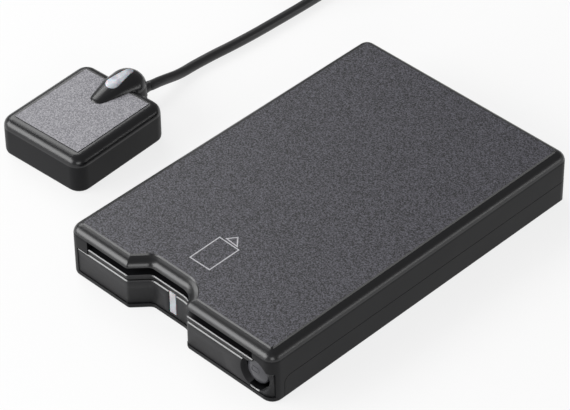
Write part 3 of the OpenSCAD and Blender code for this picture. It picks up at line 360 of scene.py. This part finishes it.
def mouldedAbs(name, color, roughness, grainMm=0.12, depthMm=0.002, flowMm=14, shine=0.3):
    # ABS from a polished mould: even satin with the faint flow of the melt in its gloss
    tree, shader = startFinish(name, color, roughness, ior=1.53, shine=shine)
    coords = addNode(tree, "ShaderNodeTexCoord")
    grainBump(tree, shader, coords, grainMm, depthMm, 0.35)
    flow = objectNoise(tree, coords, flowMm, {"Detail": 2.0})
    roughnessFrom(tree, shader, flow, roughness - 0.05, roughness + 0.06)


def glassFilledPbt(name, color, roughness=0.5, fibreMm=0.25, paler=1.25, lift=0.01):
    # glass-filled polyester of connectors: short pale fibres just under a dry surface
    tree, shader = startFinish(name, color, roughness, ior=1.57)
    coords = addNode(tree, "ShaderNodeTexCoord")
    fibres = objectNoise(tree, coords, fibreMm, {"Detail": 4.0, "Distortion": 1.5})
    ramp = speckle(tree, shader, fibres, color, color, 0.4, 0.75)
    pale = [min(c * paler + lift, 1) for c in hexToLinear(color)[:3]]
    ramp.color_ramp.elements[1].color = (*pale, 1)
    grainBump(tree, shader, coords, 0.2, 0.003, 0.4)


def acetalNatural(name, color, shade="#cfcabb", cloudMm=3, depthOfLight=0.5):
    # moulded natural acetal: waxy, off-white, a little light inside
    tree, shader = startFinish(name, color, 0.38, ior=1.48)
    shader.inputs["Subsurface Weight"].default_value = 0.15
    shader.inputs["Subsurface Scale"].default_value = depthOfLight * mm
    coords = addNode(tree, "ShaderNodeTexCoord")
    cloud = objectNoise(tree, coords, cloudMm, {"Detail": 3.0})
    speckle(tree, shader, cloud, shade, color, 0.3, 0.7)
    grainBump(tree, shader, coords, 0.15, 0.002, 0.3)


def milkyAcrylic(name, dark, light, roughness, hazeMm=2.2, depthOfLight=1.0):
    # opal acrylic: diffuses the lamp behind it, and looks pale grey with a soft gloss when unlit
    tree, shader = startFinish(name, light, roughness, ior=1.49)
    shader.inputs["Subsurface Weight"].default_value = 0.3
    shader.inputs["Subsurface Scale"].default_value = depthOfLight * mm
    coords = addNode(tree, "ShaderNodeTexCoord")
    haze = objectNoise(tree, coords, hazeMm, {"Detail": 2.0})
    speckle(tree, shader, haze, dark, light, 0.3, 0.65)
    grainBump(tree, shader, coords, 0.3, 0.002, 0.3)


def platedMetal(name, color, roughness, grainMm=0.4, depthMm=0.002):
    # plated strip or wire: clean metal with a soft orange-peel from the bath
    tree, shader = startFinish(name, color, roughness, metallic=1.0)
    coords = addNode(tree, "ShaderNodeTexCoord")
    grain = grainBump(tree, shader, coords, grainMm, depthMm, 0.5)
    roughnessFrom(tree, shader, grain, roughness - 0.06, roughness + 0.1)


def solderMaskLaminate(name, color, track, gridMm=1.27, blockMm=9, weaveMm=1.6):
    # glass-epoxy board under green mask: tracks show as lighter lines on the component grid, over the weave
    tree, shader = startFinish(name, color, 0.32, ior=1.55)
    coords = addNode(tree, "ShaderNodeTexCoord")
    grid = addNode(tree, "ShaderNodeMapping", {"Scale": (perMetre(gridMm),) * 3},
                   {"Vector": (coords, "Object")})
    mask, copper = hexToLinear(color), hexToLinear(track)
    cells = addNode(tree, "ShaderNodeTexBrick",
                    {"offset": 0.5, "squash": 1.0, "Scale": 1.0, "Mortar Size": 0.12, "Brick Width": 3.0,
                     "Row Height": 1.0, "Color1": mask, "Color2": mask, "Mortar": copper},
                    {"Vector": (grid, "Vector")})
    blocks = objectNoise(tree, coords, blockMm, {"Detail": 0.0})
    where = addNode(tree, "ShaderNodeMath", {"operation": "GREATER_THAN", 1: 0.52}, {0: (blocks, "Fac")})
    mixed = addNode(tree, "ShaderNodeMix", {"data_type": "RGBA", 6: mask},
                    {0: (where, 0), 7: (cells, "Color")})
    tree.links.new(mixed.outputs[2], shader.inputs["Base Color"])
    weave = addNode(tree, "ShaderNodeTexWave", {"Scale": perMetre(weaveMm), "Distortion": 0.3},
                    {"Vector": (coords, "Object")})
    bumpFrom(tree, shader, weave, 0.2, 0.01)


def sinteredCeramic(name, dark, light, grainMm=0.5):
    # fired titanate: matt, fine-grained, faintly mottled
    tree, shader = startFinish(name, light, 0.62, ior=1.7)
    coords = addNode(tree, "ShaderNodeTexCoord")
    grain = objectNoise(tree, coords, grainMm, {"Detail": 5.0})
    speckle(tree, shader, grain, dark, light, 0.35, 0.7)
    grainBump(tree, shader, coords, 0.25, 0.01, 0.5)


def extrudedPvc(name, color, dieLines=26.0, lineMm=50):
    # PVC jacket from the extruder: satin, with the faint lines of the die along its length, this many
    # round the jacket and each as long as lineMm
    tree, shader = startFinish(name, color, 0.4, ior=1.54)
    place = addNode(tree, "ShaderNodeUVMap", {"uv_map": "length"})
    stretch = addNode(tree, "ShaderNodeMapping", {"Scale": (1 / lineMm, dieLines, 1.0)},
                      {"Vector": (place, "UV")})
    lines = addNode(tree, "ShaderNodeTexNoise", {"Scale": 1.0, "Detail": 3.0},
                    {"Vector": (stretch, "Vector")})
    roughnessFrom(tree, shader, lines, 0.34, 0.48)
    bumpFrom(tree, shader, lines, 0.3, 0.01)


def mouldedRubber(name, color, bloom="#2a2a2c", dustMm=0.6):
    # moulded rubber: dull, with a dusty grain
    tree, shader = startFinish(name, color, 0.6, ior=1.52)
    coords = addNode(tree, "ShaderNodeTexCoord")
    dust = objectNoise(tree, coords, dustMm, {"Detail": 4.0})
    speckle(tree, shader, dust, color, bloom, 0.35, 0.8)
    grainBump(tree, shader, coords, 0.2, 0.01, 0.4)


def padPrintedInk(name, color, worn="#8f8f94", pitMm=0.35):
    # pale grey pad-print ink, dry and a little broken up by the pits under it
    tree, shader = startFinish(name, color, 0.6)
    coords = addNode(tree, "ShaderNodeTexCoord")
    pits = objectNoise(tree, coords, pitMm, {"Detail": 2.5, "Roughness": 0.65})
    speckle(tree, shader, pits, worn, color, 0.3, 0.5)


sparkErodedAbs("sparkErodedAbsTop", "#0b0b0e", "#5d5c65", 0.36)
sparkErodedAbs("sparkErodedAbsAntenna", "#6c6b71", "#a9a8ad", 0.34)
mouldedAbs("mouldedAbsCover", "#131315", 0.3, shine=0.5)
# darker, duller copies of the cover's black ABS for the walls and the lower cover: painted shade on the sides
mouldedAbs("mouldedAbsWallPaintedShade", "#0f0f11", 0.45, shine=0.16)
mouldedAbs("mouldedAbsLowerPaintedShade", "#0e0e10", 0.45, shine=0.16)
mouldedAbs("mouldedAbsAntenna", "#131315", 0.28, shine=0.45)
mouldedAbs("mouldedAbsPanel", "#1b1b1d", 0.42, shine=0.22)
mouldedAbs("mouldedAbsGuide", "#121214", 0.42)
# a lighter, glossier ABS for the front chamfers: a painted highlight along those edges
mouldedAbs("paintedHighlightAbsEdge", "#2a2a2c", 0.26, shine=0.9)
mouldedAbs("mouldedAbsButton", "#3b3b3f", 0.34, shine=0.5)
glassFilledPbt("glassFilledPbtBlack", "#161618")
glassFilledPbt("glassFilledPbtNatural", "#ded9c8")
glassFilledPbt("glassFilledPbtBlue", "#35558f")
acetalNatural("acetalNaturalLever", "#e0dccf")
milkyAcrylic("opalAcrylicBar", "#9d9fa3", "#b0b2b6", 0.3)
milkyAcrylic("frostedAcrylicLens", "#9a9da5", "#c3c6cd", 0.3)
milkyAcrylic("siliconeLampLens", "#e4dfc8", "#f3efdf", 0.3)
platedMetal("zincPlatedSteel", "#b4b7bb", 0.34)
platedMetal("blackZincScrew", "#4a4b4e", 0.42)
platedMetal("tinPlatedSheet", "#c9cacc", 0.3, 0.8)
platedMetal("goldPlatedBronze", "#d9b56a", 0.24)
platedMetal("firedSilverPaste", "#cbc9c2", 0.5, 0.2, 0.006)
platedMetal("drawnSpringWire", "#a9acb0", 0.28)
solderMaskLaminate("solderMaskLaminateGreen", "#1b5237", "#2f7450")
sinteredCeramic("sinteredCeramicTile", "#b9a688", "#d0c0a4")
extrudedPvc("extrudedPvcJacket", "#1b1b1d")
mouldedRubber("mouldedRubberBlack", "#151517")
mouldedAbs("mouldedNylonTie", "#1f1f22", 0.42)
padPrintedInk("padPrintedInkGrey", "#c2c2c6")
print("materials made:", len(finishes))


def dress(piece, *names):
    # clearing the old materials would reset each face's index, so the indexes are kept and put back
    indices = [f.material_index for f in piece.data.polygons]
    piece.data.materials.clear()
    for name in names:
        piece.data.materials.append(finishes[name])
    piece.data.polygons.foreach_set("material_index", indices)


dress(cablePiece, "extrudedPvcJacket")


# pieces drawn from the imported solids, with their edges broken as the moulds leave them

edgeWork = dict(weld=0.002, baseHeight=0.01, flatAngle=0.8, roundAngle=32, segments=2, profile=0.5,
                normalWeight=60, looksUp=0.9, looksAcross=0.3, looksForward=0.2)


def cleanSolid(mesh, e, refill):
    # the solid's triangles joined into its real faces, all smooth and without stored normals
    work = bmesh.new()
    work.from_mesh(mesh)
    bmesh.ops.remove_doubles(work, verts=work.verts, dist=e["weld"] * mm)
    if refill:  # the base is one concave face, drawn again from its own outline
        low = [f for f in work.faces if max(v.co.z for v in f.verts) < e["baseHeight"] * mm]
        bmesh.ops.delete(work, geom=low, context="FACES_ONLY")
        bmesh.ops.holes_fill(work, edges=[edge for edge in work.edges if edge.is_boundary], sides=0)
    bmesh.ops.dissolve_limit(work, angle_limit=math.radians(e["flatAngle"]), verts=work.verts,
                             edges=work.edges, delimit=set())
    for face in work.faces:
        face.smooth = True
        face.material_index = 0
    work.to_mesh(mesh)
    work.free()
    mesh.materials.clear()
    stored = mesh.attributes.get("custom_normal")
    if stored:
        mesh.attributes.remove(stored)


def chamferFront(mesh, e, limit, width):
    # the front's upper edges, between a face that looks up and one that looks forward, get a flat chamfer,
    # whose faces take a painted highlight
    work = bmesh.new()
    work.from_mesh(mesh)
    work.normal_update()
    sharp = []
    for edge in work.edges:
        if len(edge.link_faces) == 2 and edge.is_convex and max(v.co.y for v in edge.verts) < limit * mm:
            wall, top = sorted((f.normal for f in edge.link_faces), key=lambda n: n.z)
            if top.z > e["looksUp"] and abs(wall.z) < e["looksAcross"] and wall.y < -e["looksForward"]:
                sharp.append(edge)
    made = bmesh.ops.bevel(work, geom=sharp, offset=width * mm, offset_type="OFFSET", segments=1,
                           profile=e["profile"], affect="EDGES", clamp_overlap=False)
    # the chamfer faces take the second finish, a painted highlight
    for face in made["faces"]:
        face.smooth = False
        face.material_index = 1
    work.to_mesh(mesh)
    work.free()


def roundEdges(piece, e, radius):
    soft = piece.modifiers.new("edges", "BEVEL")
    soft.width, soft.segments, soft.limit_method = radius * mm, e["segments"], "ANGLE"
    soft.angle_limit = math.radians(e["roundAngle"])
    soft.use_clamp_overlap = True
    soft.miter_outer = "MITER_ARC"
    soft.profile = e["profile"]


def edgeBroken(node, name, finish, radius, body="unit", rim=None, chamfer=None, refill=False):
    # the piece for one CAD node: its solid, with its edges rounded, or its front upper edges chamfered
    e = edgeWork
    piece = linkObject(name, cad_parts[node].data.copy())
    if rim:
        steepenRim(piece.data, rim)
    cleanSolid(piece.data, e, refill)
    if chamfer:
        chamferFront(piece.data, e, chamfer, radius)
    elif radius > 0:
        roundEdges(piece, e, radius)
    even = piece.modifiers.new("normals", "WEIGHTED_NORMAL")
    even.keep_sharp, even.weight = True, e["normalWeight"]
    bpy.context.view_layer.update()
    done = bpy.data.meshes.new_from_object(piece.evaluated_get(bpy.context.evaluated_depsgraph_get()))
    piece.modifiers.clear()
    piece.data = done
    dress(piece, *([finish] if isinstance(finish, str) else finish))
    if body:
        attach(piece, body)
    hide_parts(node)
    return piece


def paintFaces(piece, test, index):
    for poly in piece.data.polygons:
        if test(poly):
            poly.material_index = index


def steepenRim(mesh, r):
    # the raised panel's rim: its upper edge drawn out towards its lower one, so that it is a steep step
    rim = [v for v in mesh.vertices if abs(v.co.z - r["low"] * mm) < r["lowSlack"] * mm]
    for v in mesh.vertices:
        if v.co.z > r["high"] * mm - r["highSlack"] * mm:
            near = min(rim, key=lambda q: (q.co.xy - v.co.xy).length_squared)
            if (near.co.xy - v.co.xy).length < r["reach"] * mm:
                v.co.xy = v.co.xy.lerp(near.co.xy, r["drawn"])


# a face lies flat when its normal's z is over up, and belongs to a wall when it is under sideways
facing = dict(up=0.999, sideways=0.3)
cover = dict(radius=0.12, platformLow=14.62,
             finish=["mouldedAbsCover", "sparkErodedAbsTop", "mouldedAbsWallPaintedShade"],
             rim=dict(low=14.59, high=15.0, drawn=0.6, lowSlack=0.02, highSlack=0.01, reach=1.2))
coverPiece = edgeBroken("top_cover", "upperCover", cover["finish"], cover["radius"], rim=cover["rim"],
                        refill=True)
paintFaces(coverPiece, lambda f: f.normal.z > facing["up"] and f.center.z > cover["platformLow"] * mm, 1)
# the cover's walls take the darker, duller copy of its ABS: painted shade
paintFaces(coverPiece, lambda f: abs(f.normal.z) < facing["sideways"], 2)

# the lower cover takes the darker, duller copy of the same ABS: painted shade
lower = dict(radius=0.15, finish="mouldedAbsLowerPaintedShade")
edgeBroken("bottom_cover", "lowerCover", lower["finish"], lower["radius"])

# the panel and the guide under the slot: only upper edges ahead of this y are chamfered
# their chamfers take the lighter, glossier edge finish: a painted highlight
panel = dict(width=0.24, aheadOf=-40, finish=["mouldedAbsPanel", "paintedHighlightAbsEdge"])
guide = dict(width=0.2, aheadOf=-44, finish=["mouldedAbsGuide", "paintedHighlightAbsEdge"])
edgeBroken("front_panel", "frontPanel", panel["finish"], panel["width"], chamfer=panel["aheadOf"])
edgeBroken("card_guide", "cardGuide", guide["finish"], guide["width"], chamfer=guide["aheadOf"])

bar = dict(radius=0.12, finish="opalAcrylicBar")
edgeBroken("light_pipe", "lightBar", bar["finish"], bar["radius"])

button = dict(radius=0.25, finish="mouldedAbsButton")
buttonPiece = edgeBroken("eject_button", "ejectButton", button["finish"], button["radius"], body="button")

antenna = dict(radius=0.1, panelLow=10.52, wallHigh=8,
               finish=["mouldedAbsAntenna", "sparkErodedAbsAntenna", "mouldedAbsWallPaintedShade"])
antennaPiece = edgeBroken("antenna_cover", "antennaCover", antenna["finish"], antenna["radius"])
paintFaces(antennaPiece, lambda f: f.normal.z > facing["up"] and f.center.z > antenna["panelLow"] * mm, 1)
# the antenna's lower walls take the same darker, duller copy: painted shade
paintFaces(antennaPiece,
           lambda f: abs(f.normal.z) < facing["sideways"] and f.center.z < antenna["wallHigh"] * mm, 2)

lens = dict(radius=0.08, finish="frostedAcrylicLens")
edgeBroken("indicator_lens", "indicatorLens", lens["finish"], lens["radius"])
print("main mouldings made")

plainPieces = [
    # node, piece, finish, edge radius, body
    ("eject_lever", "ejectLever", "acetalNaturalLever", 0.15, "lever"),
    ("card_pusher", "cardPusher", "acetalNaturalLever", 0.15, "pusher"),
    ("contact_block", "contactBlock", "glassFilledPbtBlack", 0.12, "unit"),
    ("card_contacts", "cardContacts", "goldPlatedBronze", 0.0, "unit"),
    ("card_switch", "cardSwitch", "glassFilledPbtBlack", 0.1, "unit"),
    ("main_board", "mainBoard", "solderMaskLaminateGreen", 0.04, "unit"),
    ("shield_can", "shieldCan", "tinPlatedSheet", 0.12, "unit"),
    ("processor_chips", "processorChips", "glassFilledPbtBlack", 0.08, "unit"),
    ("capacitors", "capacitors", "tinPlatedSheet", 0.2, "unit"),
    ("speaker", "speaker", "glassFilledPbtBlack", 0.15, "unit"),
    ("status_led", "statusLamp", "siliconeLampLens", 0.08, "unit"),
    ("power_header", "powerHeader", "glassFilledPbtNatural", 0.12, "unit"),
    ("power_pins", "powerPins", "tinPlatedSheet", 0.08, "unit"),
    ("antenna_jack", "antennaJack", "glassFilledPbtBlue", 0.12, "unit"),
    ("jack_pin", "jackPin", "goldPlatedBronze", 0.08, "unit"),
    ("lever_pivot", "leverPivot", "zincPlatedSteel", 0.1, "unit"),
    ("button_spring", "buttonSpring", "drawnSpringWire", 0.0, None),
    ("antenna_base", "antennaBase", "mouldedAbsGuide", 0.1, "unit"),
    ("antenna_board", "antennaBoard", "solderMaskLaminateGreen", 0.04, "unit"),
    ("patch_element", "patchElement", "sinteredCeramicTile", 0.15, "unit"),
    ("patch_electrode", "patchElectrode", "firedSilverPaste", 0.02, "unit"),
    ("feed_pin", "feedPin", "goldPlatedBronze", 0.04, "unit"),
    ("antenna_shield", "antennaShield", "tinPlatedSheet", 0.12, "unit"),
    ("antenna_lamp", "antennaLamp", "siliconeLampLens", 0.08, "unit"),
    ("cable_grommet", "cableGrommet", "mouldedRubberBlack", 0.15, "unit"),
    ("coax_lead", "coaxLead", "mouldedRubberBlack", 0.03, "unit"),
    ("coil_tie", "coilTie", "mouldedNylonTie", 0.15, "unit"),
    ("antenna_plug", "antennaPlug", "glassFilledPbtBlue", 0.2, "unit"),
    ("plug_contact", "plugContact", "goldPlatedBronze", 0.05, "unit"),
    ("case_screws", "caseScrews", "blackZincScrew", 0.15, "unit"),
    ("board_screws", "boardScrews", "zincPlatedSteel", 0.12, "unit"),
    ("guide_screws", "guideScrews", "zincPlatedSteel", 0.1, "unit"),
    ("base_screws", "baseScrews", "blackZincScrew", 0.08, "unit"),
]
for node, name, finish, radius, body in plainPieces:
    edgeBroken(node, name, finish, radius, body=body)
# the spring is on no body: its place is baked into its mesh
spring = bpy.data.objects["buttonSpring"]
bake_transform(spring)
print("plain pieces made:", len(plainPieces))


# raised oblong on the button's dome, for the fingertip to find

pill = dict(halfLength=1.3, halfWidth=0.7, ring=0.22, proud=0.12, x=27.9, y=-51.05, z=7.4, steps=10,
            rootGrow=0.08, innerShrink=0.06, sunk=0.03, castFrom=5)


def makePill(q):
    # follows the dome: every point is dropped on the button's surface along y
    dome = buttonPiece.data
    tree = BVHTree.FromPolygons([v.co for v in dome.vertices], [tuple(f.vertices) for f in dome.polygons])

    def outlineAt(grow):
        points = []
        for side, turned in ((1, -90), (-1, 90)):
            for k in range(q["steps"] + 1):
                a = math.radians(turned + 180 * k / q["steps"])
                r = q["halfWidth"] + grow
                points.append((side * (q["halfLength"] - q["halfWidth"]) + r * math.cos(a), r * math.sin(a)))
        return points

    rings = []
    profile = ((q["rootGrow"], -q["sunk"]), (0.0, q["proud"]),
               (-q["ring"], q["proud"]), (-q["ring"] - q["innerShrink"], -q["sunk"]))
    for grow, lift in profile:
        ring = []
        for px, pz in outlineAt(grow):
            start = Vector((q["x"] + px, q["y"] - q["castFrom"], q["z"] + pz)) * mm
            hit = tree.ray_cast(start, Vector((0, 1, 0)))[0]
            ring.append(Vector((hit.x, hit.y - lift * mm, hit.z)))
        rings.append(ring)
    count = len(rings[0])
    points = [p for ring in rings for p in ring]
    faces = []
    for i in range(len(rings) - 1):
        for k in range(count):
            a, b = i * count + k, i * count + (k + 1) % count
            faces.append((a, b, b + count, a + count))
    mesh = meshFrom("buttonPill", points, faces)
    piece = linkObject("buttonPill", mesh)
    dress(piece, button["finish"])
    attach(piece, "button")


makePill(pill)
print("button mark made")


# ribbed boot on the plug

boot = dict(length=9.0, thin=1.35, thick=2.2, ribs=5, ribDepth=0.28, ribStart=0.12, ribEnd=0.92, ribFade=0.3,
            sides=32, steps=60)


def makeBoot(b):
    # a tapered sleeve whose ribs start a little way in and fade out before the plug
    points, faces = [], []
    side = Vector((-plugWay.y, plugWay.x, 0))
    for i in range(b["steps"] + 1):
        t = i / b["steps"]
        radius = b["thin"] + (b["thick"] - b["thin"]) * t
        wave = math.sin(math.pi * t * b["ribs"] * 2) * 0.5 - 0.5
        if b["ribStart"] < t < b["ribEnd"]:
            radius += b["ribDepth"] * wave * min(1, (radius - b["thin"]) / b["ribFade"])
        for k in range(b["sides"]):
            a = 2 * math.pi * k / b["sides"]
            points.append(plugPlace + plugWay * (b["length"] * t * mm)
                          + side * (radius * math.cos(a) * mm) + Vector((0, 0, radius * math.sin(a) * mm)))
    for i in range(b["steps"]):
        for k in range(b["sides"]):
            a, c = i * b["sides"] + k, i * b["sides"] + (k + 1) % b["sides"]
            faces.append((a, c, c + b["sides"], a + b["sides"]))
    faces.append(tuple(range(b["sides"]))[::-1])
    faces.append(tuple(range(b["steps"] * b["sides"], (b["steps"] + 1) * b["sides"])))
    mesh = meshFrom("plugBoot", points, faces)
    for poly in mesh.polygons:
        poly.use_smooth = len(poly.vertices) == 4
    piece = linkObject("plugBoot", mesh)
    dress(piece, "mouldedRubberBlack")
    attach(piece, "unit")
    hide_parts("plug_boot")
    return piece


bootPiece = makeBoot(boot)


# insertion mark printed on the top: a card's outline and an arrow head

mark = dict(height=15.0, proud=0.012, line=0.32, sharpest=0.3,
            card=[(-4.17, -40.1), (2.27, -40.04), (2.2, -30.4), (-4.3, -30.3)],
            arrow=[(-2.74, -29.5), (-1.14, -27.4), (1.08, -29.8)])


def strokeLoop(points, width, sharpest, z):
    # a closed outline of mitred strokes
    count = len(points)
    outer, inner = [], []
    for i in range(count):
        a, b, c = (Vector(points[(i + k) % count]) for k in (-1, 0, 1))
        d1, d2 = (b - a).normalized(), (c - b).normalized()
        n1, n2 = Vector((d1.y, -d1.x)), Vector((d2.y, -d2.x))
        miter = (n1 + n2).normalized()
        reach = width / 2 / max(miter.dot(n1), sharpest)
        outer.append(b + miter * reach)
        inner.append(b - miter * reach)
    verts = [Vector((p.x, p.y, z)) * mm for p in outer + inner]
    faces = [(i, (i + 1) % count, (i + 1) % count + count, i + count) for i in range(count)]
    return verts, faces


def makeMark(m):
    verts, faces = [], []
    for loop in (m["card"], m["arrow"]):
        v, f = strokeLoop(loop, m["line"], m["sharpest"], m["height"] + m["proud"])
        faces += [tuple(k + len(verts) for k in face) for face in f]
        verts += v
    mesh = meshFrom("insertionMark", verts, faces)
    piece = linkObject("insertionMark", mesh)
    work = bmesh.new()
    work.from_mesh(mesh)
    bmesh.ops.recalc_face_normals(work, faces=work.faces)
    for face in work.faces:
        if face.normal.z < 0:
            face.normal_flip()
    work.to_mesh(mesh)
    work.free()
    dress(piece, "padPrintedInkGrey")
    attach(piece, "unit")


makeMark(mark)
print("mark made")
